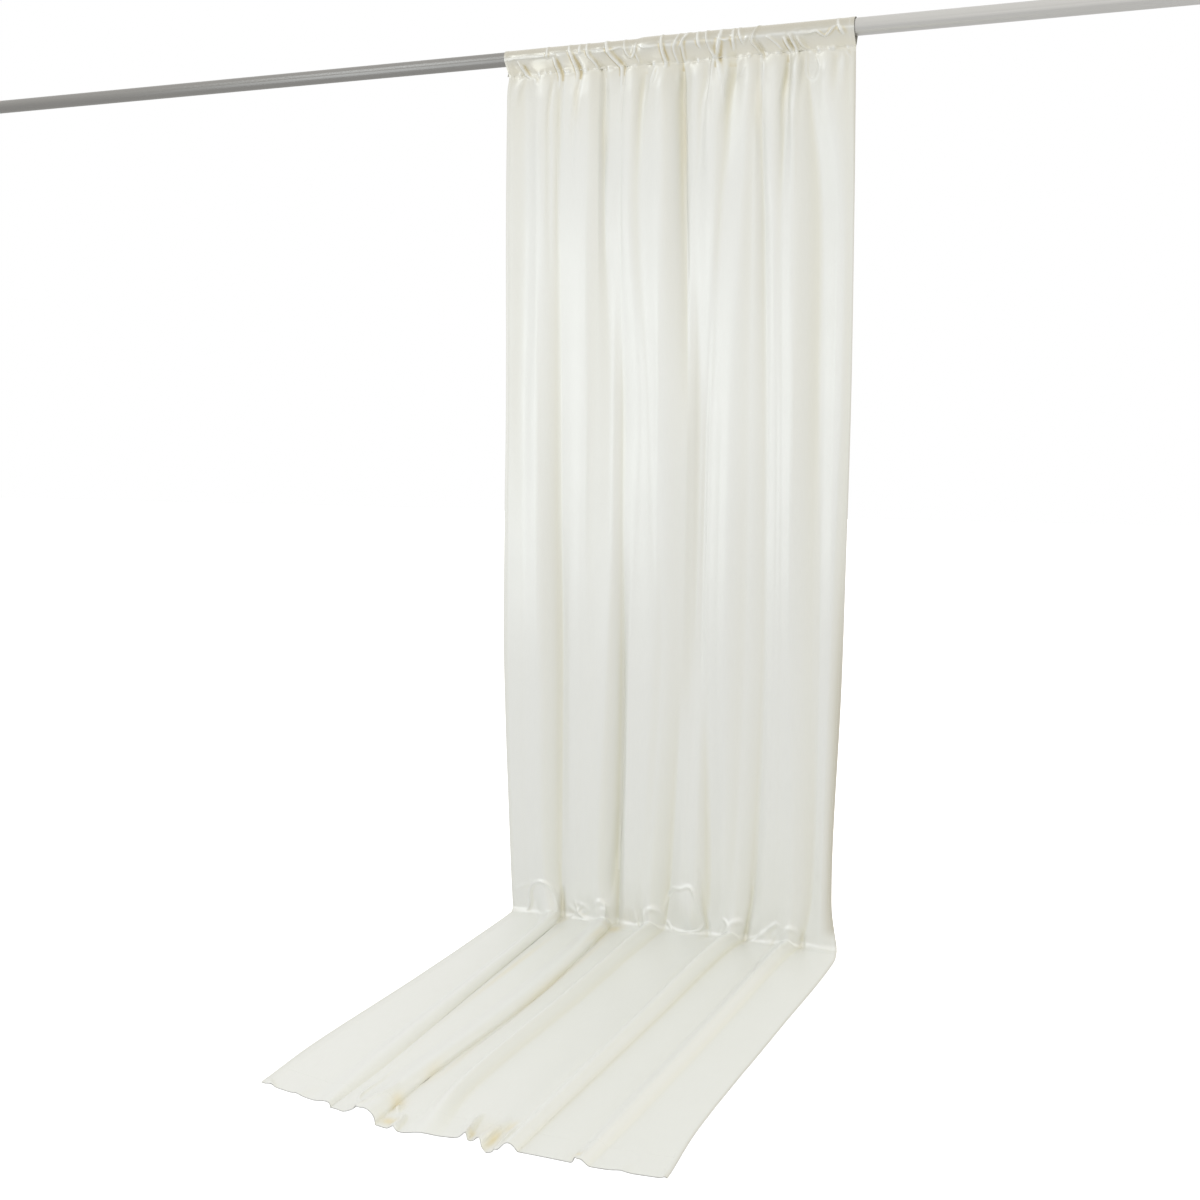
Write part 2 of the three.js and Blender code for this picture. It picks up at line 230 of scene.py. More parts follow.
# The panel's middle surface as a grid of points, rows from the seam to the hem
def panelGrid(ways):
    opening = cloth["seamPinch"] + (1 - cloth["seamPinch"]) * smooth(share(ways, 0, cloth["seamFade"]))
    lineX = [curveThrough(stationWays, places, ways) * mm for places in linePlaces]
    lineDepth = [curveThrough(stationWays, depths, ways) * opening * mm for depths in lineDepths]
    onFloor = smooth(share(ways, wayOfHeight(heights[-1]), wayOfRun(runs[0])))
    x, depth, run = [], [], []
    for i, steps in enumerate(columnSteps()):
        rise = lineDepth[i + 1] - lineDepth[i]
        lean = overhangs[i + 1] * mm * onFloor * np.clip(-rise / cloth["ridgeHeight"], 0, 1)
        for k in range(steps + (i == len(foldLines) - 2)):
            t = k / steps
            steepStart = cloth["sharpSlope"] * sharpness[i] * (t**3 - 2 * t**2 + t)
            steepEnd = cloth["sharpSlope"] * sharpness[i + 1] * (t**3 - t**2)
            depth.append(lineDepth[i] + rise * (smooth(t) + steepStart + steepEnd))
            x.append(lineX[i] + (lineX[i + 1] - lineX[i]) * t + lean * math.sin(math.pi * t))
            run.append((hemRuns[i] + (hemRuns[i + 1] - hemRuns[i]) * t) * mm)
    x, depth = np.array(x).T, np.array(depth).T
    run, way = np.array(run)[None, :], ways[:, None]

    radius = np.maximum(bendRadius - depth, cloth["tightestBend"])
    corner = depth + radius
    z = wayOfHeight(way) + 0 * depth
    kneeShare = smooth(share(heights[-1] - z, 0, heights[-1] - bendRadius))
    hangZ = z + np.maximum(corner - bendRadius, 0) * kneeShare
    angle = np.clip((way - bendStart) / bendRadius, 0, math.pi / 2)
    bendY = -corner + radius * np.cos(angle)
    bendZ = corner - radius * np.sin(angle)
    floorRun = way - bendStart - bendLength + bendRadius
    headShare = 1 - smooth(share(floorRun, bendRadius, cloth["bendSpread"]))
    alongFloor = floorRun + (corner - bendRadius) * headShare
    floorY = -alongFloor - (run - hemRun) * smooth(share(floorRun, 0, hemRun))
    hanging, lying = way < bendStart, way > bendStart + bendLength
    y = np.where(hanging, -depth, np.where(lying, floorY, bendY))
    z = np.where(hanging, hangZ, np.where(lying, depth, bendZ))
    return np.stack([x, y, softFloor(z, 0) + halfThick], axis=-1)


def gridNormals(points):
    normal = np.cross(np.gradient(points, axis=0), np.gradient(points, axis=1))
    return normal / np.maximum(np.linalg.norm(normal, axis=-1, keepdims=True), 1e-12)


# A long faint fold down the hanging cloth, a little wavy
def faintFold(width, place, start, end, rise):
    first, second = (round(start + part * (end - start), 1) for part in (0.3, 0.65))
    path = [(place, start), (place + 1, first, rise), (place - 2, second, 0.6), (place - 1, end)]
    return width, path


faintFolds = [
    (5, -317, 132, 1612, 0.8), (5, -195, 212, 1412, 0.7), (5, -131, 262, 1212, 0.8),
    (5, -25, 312, 1312, 0.7), (5, 55, 212, 1512, 0.7), (6, 116, 412, 1612, 0.8),
    (5, 227, 312, 1562, 0.7), (5, 278, 362, 1412, 0.8), (6, 336, 212, 1612, 0.8),
    (5, 364, 112, 1312, 0.7),
]

# Small creases: a crease's width, or the widths of its left and right sides, then its
# path. A point is a place across, the way down the cloth from the seam (negative up the pocket) and how
# far the crease stands out there, or in, if it does. All are in millimetres.
creases = [
    # Over the bar and down to the seam, left to right
    (8.8, 11.4, [(-369, -32), (-362, -22, -2.6), (-350, -4)]),
    (2.9, 4.2, [(-358, -36), (-347, -16, 4.7), (-335, 3, 3.9), (-320, 9, 1.7), (-318, 32)]),
    (3.6, 6.8, [(-340.2, -16, -3.6), (-326.8, 3, -2), (-311.3, 9, -2), (-313, 23)]),
    (2.4, 3.2, [(-283, -82), (-283, -44, 2), (-283, -38, 3.8), (-284, -30)]),
    (2.2, 4.2, [(-268, -34), (-266, -18, 4.8), (-262, -3, 4.3), (-260, 10, 2.9), (-262, 40)]),
    (3.6, 6.8, [(-262.5, -34, -0.8), (-259.3, -18, -3.4), (-254.2, -3, -1.8), (-255, 16)]),
    (2.2, 4.2, [(-234, -82), (-231, -46, 1.9), (-225, -26, 4.3), (-219, -7, 3.9), (-216, 8, 2.9),
     (-219, 40)]),
    (3.6, 6.8, [(-218.9, -26, -2.3), (-211.5, -7, -4.8), (-207.4, 8, -2), (-209, 22)]),
    (2.1, 4.5, [(-207, -82), (-207, -48, 1.4), (-207, -41, 2.6), (-207, -34)]),
    (2.9, 4.2, [(-190, -82), (-189, -50, 2.1), (-186, -29, 4.9), (-178, -19, 4.9), (-170, -6, 3.4),
     (-166, 8)]),
    (3.6, 6.8, [(-180.1, -29, -1.4), (-171.4, -19, -2.3), (-162.4, -6, -3.5), (-157.4, 8, -1.4),
     (-159, 22)]),
    (2.9, 5.9, [(-147, -82), (-145, -55, 3.4), (-139, -32, 7.6), (-121, -9, 7.1), (-114, 2, 4.9),
     (-114, 30, 3), (-114, 70)]),
    (3.6, 6.8, [(-133.4, -32, -0.8), (-113.7, -9, -4.5), (-105.9, 2, -2), (-107, 16)]),
    (2.9, 4.2, [(-103, -82), (-102, -52, 1.7), (-99, -30, 3.9), (-92, -19, 3.9), (-86, -18, 3.9),
     (-79, -30, 3.9), (-73, -52)]),
    (2.1, 4.5, [(-79, -34), (-76, -20, 3), (-72, -5, 1.1), (-71, 8)]),
    (2.9, 4.2, [(-18, -82), (-18, -54, 2.4), (-17, -29, 5.6), (-12, -2, 5), (-12, 14)]),
    (3.6, 6.8, [(-11.1, -29, -2), (-4.1, -2, -2), (-5, 16)]),
    (2.4, 4.5, [(23, -82), (20, -54, 1.4), (9, -31, 3.1), (11, -11, 3.1), (15, 8)]),
    (2.1, 3.2, [(42, -82), (36, -52, 1.9), (26, -38, 3.7), (20, -29)]),
    (2.4, 3.2, [(48, -82), (40, -52, 1.6), (32, -44, 1.9), (29, -36, 3.5), (28, -11, 3.4), (29, 4)]),
    (2.2, 5.9, [(61, -82), (62, -54, 1.7), (65, -33, 3.9), (71, -23)]),
    (2.9, 4.2, [(81, -82), (84, -42, 3.7), (89, -24, 5.2), (96, -5, 4.9), (93, 12, 3.4), (86, 71, 2.6),
     (80, 110)]),
    (3.6, 6.8, [(95.2, -24, -1.4), (103.6, -5, -2.8), (103, 16)]),
    (2.9, 5.9, [(116, -82), (114, -54, 1.7), (107, -29, 4), (102, -6, 3.9), (104, 14, 2.9), (116, 76, 2),
     (121, 120)]),
    (3.6, 6.8, [(112.9, -29, -1.1), (109.6, -6, -2.7), (109, 16)]),
    (2.4, 3.2, [(141, -82), (141, -50, 1.8), (141, -30, 4), (140, -10)]),
    (2.2, 5.9, [(151, -82), (153, -52, 1.9), (157, -38, 3.8), (165, -22)]),
    (2.4, 3.2, [(163, -29), (170, -36, 2.3), (177, -41)]),
    (2.2, 4.2, [(196, -82), (193, -58, 1.9), (184, -39, 3.7), (181, -29, 4.9), (190, -15, 4.9),
     (197, 2, 3.1), (199, 20)]),
    (3.6, 6.8, [(186.9, -29, -2), (196.9, -15, -3.8), (205.1, 2, -2), (204, 16)]),
    (2.1, 3.2, [(212, -38), (222, -30, 2.9), (232, -21, 2.5), (240, -11, 2.5), (247, -4)]),
    (2.9, 4.2, [(249, -34), (253, -22, 6.1), (259, -9, 5.6), (262, 2)]),
    (3.6, 6.8, [(254.5, -34, -0.8), (259.4, -22, -2.9), (266.3, -9, -4.5), (270.1, 2, -2), (269, 16)]),
    (2.9, 4.2, [(260, -38), (265, -25, 4.1), (271, -8, 3.4), (273, 6)]),
    (3.6, 6.8, [(271.2, -25, -2.5), (278.4, -8, -4.7), (281.4, 6, -2), (280, 20)]),
    (2.9, 5.9, [(276, -32), (281, -20, 3.9), (289, -9, 3.6), (301, -1, 1.8), (306, 8)]),
    (3.6, 6.8, [(281.6, -32, -0.6), (287.5, -20, -2.2), (296.3, -9, -3.1), (308.9, -1, -1.4),
     (314.6, 8, -1.4), (313, 22)]),
    (2.9, 4.2, [(359, -82), (364, -46, 1.9), (370, -35, 4.3), (376, -24)]),
    # Along the front of the bar
    (2.2, 1.7, [(-384, -36), (-372, -34.8, 3.3), (-358, -37, 3.3), (-320, -35.8, 3.3), (-280, -37, 3),
     (-262, -35.8)]),
    (2.2, 1.7, [(-166, -35), (-140, -34.8, 3.3), (-112, -40, 3), (-100, -37.8)]),
    (2.2, 1.7, [(-68, -39), (-50, -36.8, 3.3), (-24, -38)]),
    (2.2, 1.7, [(112, -39), (124, -36.8, 3.3), (138, -39)]),
    (2.2, 1.7, [(282, -37), (300, -34.8, 3.3), (320, -37, 3.9), (330, -29.8, 3.9), (336, -27, 4.2),
     (344, -31.8, 3.9), (353, -40, 3.9), (362, -44.8)]),
    # Narrow folds that run down from the seam
    (9, 7, [(-338, -4), (-351.2, 14, 2.4), (-362, 34, 2.4), (-368.2, 70)]),
    (5.5, [(-274.4, 4), (-277.8, 32, -2.2), (-285, 92, -3.1), (-285, 172, -2.4), (-286, 300, -1.7),
     (-286, 480)]),
    (4.5, [(-249.2, 2, -1), (-253.8, 32, -2.2), (-259, 92, -2.4), (-262, 172, -2), (-266, 272, -1.5),
     (-266, 430)]),
    (6, [(-207.4, 4, -1.4), (-212.8, 32, -2.7), (-225, 92, -2.7), (-229, 172, -1.5), (-231, 300)]),
    (4, [(-201, 34), (-212, 92, 1.5), (-215, 150)]),
    (8, [(-153.2, 2, -1.4), (-154.8, 32, -4.4), (-155, 92, -4.1), (-154, 172, -2.7), (-155, 270)]),
    (4, [(-105.2, 2, -1.4), (-108.8, 32, -2.5), (-115, 92, -2.4), (-116, 172, -1.9), (-116, 330, -1.4),
     (-114, 600)]),
    (10, [(-52.2, 2, -1.4), (-59.8, 32, -4.8), (-68, 92, -3.7), (-71, 172, -1.7), (-72, 240)]),
    (3, [(-28.2, 2), (-35.9, 10, 1.2), (-47.6, 40, 1.2), (-49, 56)]),
    (3, [(-26.2, 2), (-29.6, 18, 1.2), (-37.6, 40, 1.1), (-47, 56)]),
    (11, [(-14.2, 2), (-19.8, 32, 3.1), (-26.2, 70, 1.7), (-29, 110)]),
    (6, [(13.6, 4), (14.2, 32, 2), (12.9, 80)]),
    (13, 4.5, [(24, -4), (25.2, 32, -4.5), (25, 92, -6.5), (27.5, 162, -7), (30, 272, -5),
     (36, 400, -3.6), (40, 600, -2.4), (42, 800)]),
    (14, [(51.8, 2), (53.2, 32, 5.1), (50, 100, 3.7), (52, 190)]),
    (10, [(79.8, 2), (80.2, 32, -3.4), (68, 92, -3.7), (65, 172, -2), (64, 250)]),
    (13, 6, [(121.8, 2), (120.2, 32, 4.4), (113.2, 76, 4.1), (109, 130, 1.7), (106, 180)]),
    (8, [(145.6, 4), (141.2, 32, -2.4), (128, 92, -2.7), (130, 172, -1), (132, 230)]),
    (2.5, [(149.2, 32), (151.9, 35, 0.8), (161.9, 24, 0.8), (164.3, 19)]),
    (8, [(191.8, 2, -0.8), (192.2, 32, -3.1), (188, 92, -2.7), (196, 172, -2.4), (196, 300)]),
    (4.5, [(202.5, 6), (203.2, 32, 2.4), (199.8, 70, 2), (199, 110)]),
    (6, [(254, -2, -1.4), (254.2, 32, -4.9), (245, 92, -4.1), (247, 172, -2.7), (247, 290)]),
    (9, [(276.8, 2), (272.2, 32, 3.4), (264.9, 80, 1.7), (262, 130)]),
    (7, [(289.8, 2), (288.2, 32, -3.1), (282, 92, -2.7), (282, 172)]),
    (3, [(294.8, 2), (294.2, 20, 1.3), (295, 45, 1.3), (303.9, 57, 1.2), (316.2, 54, 1.3),
     (322.8, 36, 1.3), (319.2, 20, 1.2), (313.6, 5)]),
    (12, [(334.8, 2), (335.2, 32, 3.4), (333, 90, 1.4), (334, 130)]),
    (9, [(356.8, 2), (357.2, 32, -2.7), (354, 90, -1.4), (356, 130)]),
    (6, [(370.8, 2), (370.9, 35, 1.7), (369.9, 80)]),
    (3, [(373.6, 4), (379.9, 12, 1.2), (387.9, 24)]),
    (9, 3.5, [(-157.3, 60), (-159, 110, -2.6), (-157, 162, -3.6), (-156, 280, -2), (-154, 420)]),
    (12, 8, [(-311.3, 60), (-311, 130, 2.4), (-310, 190, 2.4), (-312, 330)]),
    (9, 5, [(82.7, 60), (83, 120, 2.4), (84, 170, 2.6), (84, 300)]),
    (10, 12, [(210.7, 60), (214, 130, 2.6), (216, 190, 2.6), (218, 330)]),
    (7, 5, [(262.7, 60), (267, 120, 2.8), (270, 170, 2.8), (272, 300)]),
    # Long faint folds down the hanging cloth
    *(faintFold(*row) for row in faintFolds),
    (9, 4, [(-111, 1240), (-111, 1300, -1.9), (-109, 1450, -2.6), (-110, 1560, -2.9), (-116, 1652, -2.9),
     (-128, 1752, -2.6), (-135, 1822, -1.8), (-139, 1860)]),
    (14, 10, [(-256, 1000), (-258, 1200, -2.6), (-258, 1400, -3), (-258, 1600, -3), (-256, 1780)]),
    # Where the ridges' heads rise from the floor on to the panel, left to right
    (4.4, [(-392, 1908, 1.4), (-368, 1908, 1.3), (-347, 1903, 1.6), (-338, 1896)]),
    (4.4, [(-384, 1858), (-372, 1853, 0.9), (-352, 1843, 1.4), (-336, 1838)]),
    (3.4, [(-350, 1912), (-343, 1896, 3.6), (-339, 1880, 3.6), (-340, 1858, 3.6), (-330, 1839, 3.6),
     (-311, 1829, 3.6), (-292, 1835, 3.6), (-280, 1852, 3.6), (-272, 1880, 3.6), (-269, 1915, 1.5),
     (-266, 1940)]),
    (20, [(-318, 1850), (-306, 1880, 2.5), (-300, 1905, 5), (-288, 1940)]),
    (5, [(-261, 1836), (-261, 1858, -3.8), (-259, 1900, -4.5), (-254, 1926, -3.8), (-246, 1962)]),
    (5.6, [(-250, 1876), (-236, 1886, 1.7), (-210, 1900, 2.7), (-186, 1912, 1.5), (-176, 1920)]),
    (5.6, [(-250, 1924), (-232, 1912, 1.7), (-208, 1894, 2.4), (-186, 1880, 1.5), (-178, 1872)]),
    (5, [(-232, 1874), (-216, 1872, 1.5), (-200, 1876, 2.1), (-190, 1884)]),
    (5.6, [(-177, 1892), (-171, 1872, 2), (-160, 1860, 3.5), (-150, 1868, 2.2), (-146, 1888, 2.7),
     (-146, 1915)]),
    (5, [(-158, 1906), (-158, 1890, 1.9), (-152, 1878, 2.7), (-147, 1886)]),
    (12, [(-134, 1868), (-132, 1900, -4.5), (-124, 1935, -6), (-112, 1985)]),
    (8.8, 3.5, [(-84, 1854), (-77, 1878, 2.2), (-69, 1905, 4.3), (-62, 1930, 2.2), (-55, 1952)]),
    (5, [(-118, 1936), (-102, 1942, 1.5), (-80, 1944, 2.1), (-62, 1938)]),
    (6.2, [(-51, 1888), (-43, 1870, 2), (-28, 1862, 3.5), (-14, 1874, 2), (-8, 1898)]),
    (3.6, [(-10, 1880), (-3, 1846, 1.7), (12, 1813, 3.2), (34, 1808, 1.9), (57, 1801, 3.5),
     (68, 1820, 2.2), (76, 1845, 2.3), (88, 1880, 1.7), (80, 1898, 3), (62, 1910, 2.2), (38, 1924, 3.2),
     (18, 1912, 2.1), (4, 1896, 2.3), (-10, 1884)]),
    (28, 15, [(44, 1790), (50, 1830, 6), (56, 1868, 11), (58, 1892, 8), (58, 1915, 2), (58, 1925)]),
    (5, [(70, 1690), (78, 1758, -1.8), (88, 1840, -3), (98, 1905, -3.8), (101, 1926)]),
    (4.4, [(126, 1884), (132, 1868, 1.5), (142, 1870, 2.4), (147, 1884, 1.5), (141, 1895, 1.9),
     (132, 1892)]),
    (6.2, [(148, 1898), (158, 1874, 2), (170, 1866, 3.5), (180, 1874, 2), (183, 1898)]),
    (5, [(208, 1690), (203, 1750, -1.8), (193, 1850, -3), (186, 1900, -4.5), (184, 1932, -3), (178, 1965)]),
    (6.2, 4.5, [(184, 1930), (196, 1912, 2.2), (211, 1902, 4), (233, 1881, 2.8), (248, 1868, 3.5),
     (258, 1862, 1.9), (268, 1872)]),
    (15, [(214, 1900), (232, 1900, 4.5), (250, 1904)]),
    (5, [(236, 1922), (246, 1908, 1.7), (254, 1886, 2.1), (258, 1872)]),
    (6.2, [(272, 1898), (280, 1876, 2), (292, 1869, 3.5), (303, 1878, 2), (307, 1902)]),
    (6, [(316, 1870), (314, 1896, -4.1), (313, 1925, -4.5), (304, 1962)]),
    (5, [(310, 1904), (326, 1908, 1.7), (350, 1913, 2.4), (380, 1915, 1.3), (398, 1915, 1.1)]),
    (2.6, [(-152, 1858), (-149, 1868, 3.6), (-146, 1890, 3.4), (-147, 1912)]),
    (4, 3, [(-52, 1862), (-50, 1880, 4), (-50, 1902, 4.2), (-51, 1918)]),
    (3, [(-228, 1860), (-222, 1880, 2.8), (-208, 1904, 3), (-196, 1914)]),
    (3, [(-205, 1868), (-214, 1884, 2.6), (-226, 1902, 2.4), (-236, 1912)]),
    # Beside the first two ridges, where the cloth is drawn under
    (2.2, 9, [(-246, 1950), (-247, 2040, 1.4), (-238, 2250, 1.4), (-231, 2500, 1.4), (-219, 2780, 1.1),
     (-219, 2900)]),
    (2.2, 9, [(-115, 1960), (-111, 2060, 1.4), (-102, 2280, 1.5), (-102, 2500, 1.4), (-115, 2740, 1.4),
     (-125, 2810, 0.9), (-135, 2850)]),
    # At the hem, left to right
    (6, [(-392, 2972), (-380, 2984, 3.5), (-366, 2996, 4)]),
    (4, 2.6, [(-205, 2792), (-201, 2864, 1.5), (-203, 2917, 2.6), (-198, 2942, 2.2), (-180, 2962)]),
    (5, 3.5, [(-150, 2860), (-148, 2910, 3), (-158, 2949, 4), (-168, 2993, 5)]),
    (4, [(-112, 2910), (-116, 2930, 6), (-108, 2940)]),
    (9, 4, [(-98, 2934), (-88, 2957, 6.8), (-84, 2993, 8.5)]),
    (11, 2.6, [(24, 2895), (30, 2940, 8.5), (42, 2993, 13.6)]),
    (10, 4, [(80, 2880), (76, 2930, 7.6), (70, 2993, 10.2)]),
    (5, 3, [(104, 2874), (100, 2924, 4.2), (104, 2993, 5.1)]),
    (5, 2.4, [(222, 2948), (232, 2973, 3.5), (238, 2993, 5)]),
    (12, [(300, 2950), (310, 2993, 2.5)]),
    (10, [(-300, 2940), (-306, 2993, 2.5)]),
    (4, 3, [(372, 2965), (382, 2993, 3)]),
]
creaseReach = 2.6  # how far a crease is felt, in its own widths
creaseLegs = 5  # straight legs for each point of its path


# How far the creases lift each point of a grid off its surface
def creaseRelief(x, ways):
    relief = np.zeros(x.shape)
    for *widths, path in creases:
        path = np.array([(*point, 0)[:3] for point in path], float) * mm
        left, right = widths[0] * mm, widths[-1] * mm
        reach = creaseReach * max(left, right)
        low, high = path.min(axis=0) - reach, path.max(axis=0) + reach
        rows = np.flatnonzero((ways > low[1]) & (ways < high[1]))
        columns = np.flatnonzero(((x[rows] > low[0]) & (x[rows] < high[0])).any(axis=0))
        px = x[np.ix_(rows, columns)]
        pw = ways[rows][:, None] + 0 * px
        legs = np.concatenate([[0], np.cumsum(np.hypot(np.diff(path[:, 0]), np.diff(path[:, 1])))])
        marks = np.linspace(0, legs[-1], creaseLegs * len(path))
        ax, aw, rise = (curveThrough(legs, path[:, k], marks) for k in range(3))
        best = np.full(px.shape, np.inf)
        side, lift = np.zeros(px.shape), np.zeros(px.shape)
        for k in range(len(marks) - 1):
            ux, uw = ax[k + 1] - ax[k], aw[k + 1] - aw[k]
            t = np.clip(((px - ax[k]) * ux + (pw - aw[k]) * uw) / (ux * ux + uw * uw), 0, 1)
            offX, offW = px - ax[k] - t * ux, pw - aw[k] - t * uw
            distance = np.hypot(offX, offW)
            closer = distance < best
            best = np.where(closer, distance, best)
            side = np.where(closer, offX * uw - offW * ux, side)
            lift = np.where(closer, rise[k] + t * (rise[k + 1] - rise[k]), lift)
        width = np.where(side > 0, right, left)
        relief[np.ix_(rows, columns)] += lift * np.exp(-((best / width) ** 2))
    return relief


# Soft unevenness of a loose cloth: smooth hills of about the given size, the same each run
def unevenness(u, ways, size, seed):
    u, lattice = u[None, :], 64
    cells = np.random.default_rng(seed).uniform(-1, 1, (lattice, lattice))
    sideways, along = u / size[0] % (lattice - 1), (ways / size[1])[:, None] % (lattice - 1) + 0 * u
    i, j = np.floor(along).astype(int), np.floor(sideways).astype(int)
    s, t = smooth(along - i), smooth(sideways - j)
    low = cells[i, j] * (1 - t) + cells[i, j + 1] * t
    high = cells[i + 1, j] * (1 - t) + cells[i + 1, j + 1] * t
    return low * (1 - s) + high * s


# Length across the cloth from its left edge, for each column
def acrossCloth(points):
    steps = np.linalg.norm(np.diff(points, axis=1), axis=-1).mean(axis=0)
    u = np.concatenate([[0], np.cumsum(steps)])
    return u * cloth["flatWidth"] / u[-1]


# Places across, in millimetres, where the seam's gathers stand out most
seamPuffs = [-308, -291, -279, -262, -245, -237, -219, -196, -146, -110, -39, 60, 148, 176, 321, 344, 351,
             381]

relief = {
    # height, the size of the hills across and down, and their seed
    "loose": (0.30 * mm, (0.045, 0.070), 4),  # all over the cloth
    "pocketLoose": (1.6 * mm, (0.026, 0.024), 21),  # in front of the bar, and always outwards
    "pucker": (2.0 * mm, (0.0105, 1), 7),  # small gathers along the seam
    "puckerReach": 0.004,
    "puff": 1.8 * mm,
    "puffWidth": 3.6 * mm,
    "pocketStart": (0.002, 0.014),  # where the pocket's looseness starts and ends, above the seam
    "pocketEnd": (0.050, 0.066),
    "sideStep": 0.5 * mm,  # the side hems' turned edge
    "stepEase": 2.0 * mm,
}


def clothRelief(points, ways):
    u = acrossCloth(points)
    x = points[:, :, 0]
    lift = creaseRelief(x, ways)
    height, size, seed = relief["loose"]
    lift += height * unevenness(u, ways, size, seed)
    height, size, seed = relief["pocketLoose"]
    inFront = smooth(share(-ways, *relief["pocketStart"])) * (1 - smooth(share(-ways, *relief["pocketEnd"])))
    lift += height * (0.5 + 0.5 * unevenness(u, ways, size, seed)) * inFront[:, None]
    height, size, seed = relief["pucker"]
    atSeam = np.exp(-((np.abs(ways)[:, None] / relief["puckerReach"]) ** 2))
    lift += height * unevenness(u, 0 * ways, size, seed) * atSeam
    for place in seamPuffs:
        lift += relief["puff"] * atSeam * np.exp(-(((x - place * mm) / relief["puffWidth"]) ** 2))
    stepStart, stepEnd = cloth["sideHem"] - relief["stepEase"], cloth["sideHem"] + relief["stepEase"]
    return lift + relief["sideStep"] * (1 - smooth(share(np.minimum(u, u[-1] - u), stepStart, stepEnd)))


def addObject(name, data):
    made = bpy.data.objects.new(name, data)
    bpy.context.scene.collection.objects.link(made)
    return made


# Turns what an object's modifiers make of it into its own plain mesh
def settle(made):
    evaluated = made.evaluated_get(bpy.context.evaluated_depsgraph_get())
    mesh = bpy.data.meshes.new_from_object(evaluated)
    made.modifiers.clear()
    made.data = mesh
    mesh.name = made.name
    return mesh


# Faces between rows of points, where stride says how many columns a row's step takes: 1, 2 or 4
def rowFaces(ids, stride):
    faces = []
    for top, low, s, t in zip(ids, ids[1:], stride, stride[1:]):
        for j in range(0, len(top) - 1, max(s, t)):
            if s == t:
                faces.append((top[j], low[j], low[j + s], top[j + s]))
            elif s < t:
                faces += [(top[j], low[j], top[j + s]), (top[j + s], low[j], low[j + t]),
                          (top[j + s], low[j + t], top[j + t])]
            else:
                faces += [(top[j], low[j], low[j + t]), (top[j], low[j + t], top[j + s]),
                          (top[j + s], low[j + t], low[j + s])]
    return faces


# A piece of the cloth from the grid's rows first to last, with both faces. Its normals are those of the
# whole grid, so that neighbouring pieces shade alike.
def clothPiece(name, first, last, thickness):
    part = slice(first, last + 1)
    kept = (np.arange(grid.shape[1])[None, :] % stride[part, None]) == 0
    ids = np.full(kept.shape, -1)
    ids[kept] = np.arange(kept.sum())
    middle = grid[part][kept] + origin
    mesh = bpy.data.meshes.new(name)
    mesh.from_pydata(middle.tolist(), [], rowFaces(ids.tolist(), stride[part].tolist()))
    flatUv = np.stack(np.broadcast_arrays(across[None, :], -ways[part, None]), axis=-1)[kept]
    loops = np.zeros(len(mesh.loops), np.int32)
    mesh.loops.foreach_get("vertex_index", loops)
    weave = mesh.uv_layers.new(name="weave")
    weave.data.foreach_set("uv", flatUv[loops].astype(np.float32).ravel())
    for attribute, values in (("warmth", gridPaintedWarmShade), ("doubled", gridPaintedShade), ("glow", gridPaintedGlow)):
        stored = mesh.attributes.new(attribute, "FLOAT", "POINT")
        stored.data.foreach_set("value", values[part][kept].astype(np.float32))
    mesh.shade_smooth()
    piece = addObject(name, mesh)
    solidify = piece.modifiers.new("cloth", "SOLIDIFY")
    solidify.thickness = thickness
    solidify.offset = 0
    mesh = settle(piece)
    places = np.zeros(len(mesh.vertices) * 3)
    mesh.vertices.foreach_get("co", places)
    normals = np.tile(gridNormal[part][kept], (2, 1))
    away = places.reshape(-1, 3) - np.tile(middle, (2, 1))
    side = np.sign((away * normals).sum(axis=1, keepdims=True))
    mesh.normals_split_custom_set_from_vertices((normals * side).tolist())
    print(name, len(mesh.polygons), "faces")
    return piece


# The rod pocket: up the front, over the bar and down the back to the same seam
pocket = {
    "clearance": 0.8 * mm,
    "deepest": -0.56 * mm,  # that a crease may sink towards the bar
    "deepestSoft": 0.2 * mm,
    "onBar": (0.022, 0.036),  # above the seam, from where the creases keep to that
    "backFade": 0.012,
    "straightRows": 13,
    "roundRows": 44,
    "closest": 0.98,  # the bar's radius is at most this share of its height over the seam
}


def barRadius(x):
    start = bar["stepX"] - bar["stepLead"]
    grown = smooth(share(x, start, start + bar["stepEase"]))
    return bar["slimRadius"] + (bar["wideRadius"] - bar["slimRadius"]) * grown


# Rows from the back of the seam, over the bar, to the last one above the front of the seam
def pocketGrid(seam):
    x = seam[:, 0]
    radius = barRadius(x) + pocket["clearance"] + halfThick
    drop = bar["height"] - seam[:, 2]
    tangent = np.arccos(np.minimum(radius / drop, pocket["closest"]))
    backSeam = seam + [0, cloth["thickness"], 0]

    def ringPoint(angle):
        return np.stack([x, -radius * np.sin(angle), bar["height"] - radius * np.cos(angle)], axis=-1)

    first, last = ringPoint(tangent), ringPoint(2 * math.pi - tangent)
    shares = [k / pocket["straightRows"] for k in range(pocket["straightRows"])]
    rows = [backSeam + (last - backSeam) * s for s in shares]
    for k in range(pocket["roundRows"] + 1):
        rows.append(ringPoint(tangent + (2 * math.pi - 2 * tangent) * (1 - k / pocket["roundRows"])))
    rows += [first + (seam - first) * s for s in shares[1:]]
    return np.array(rows)


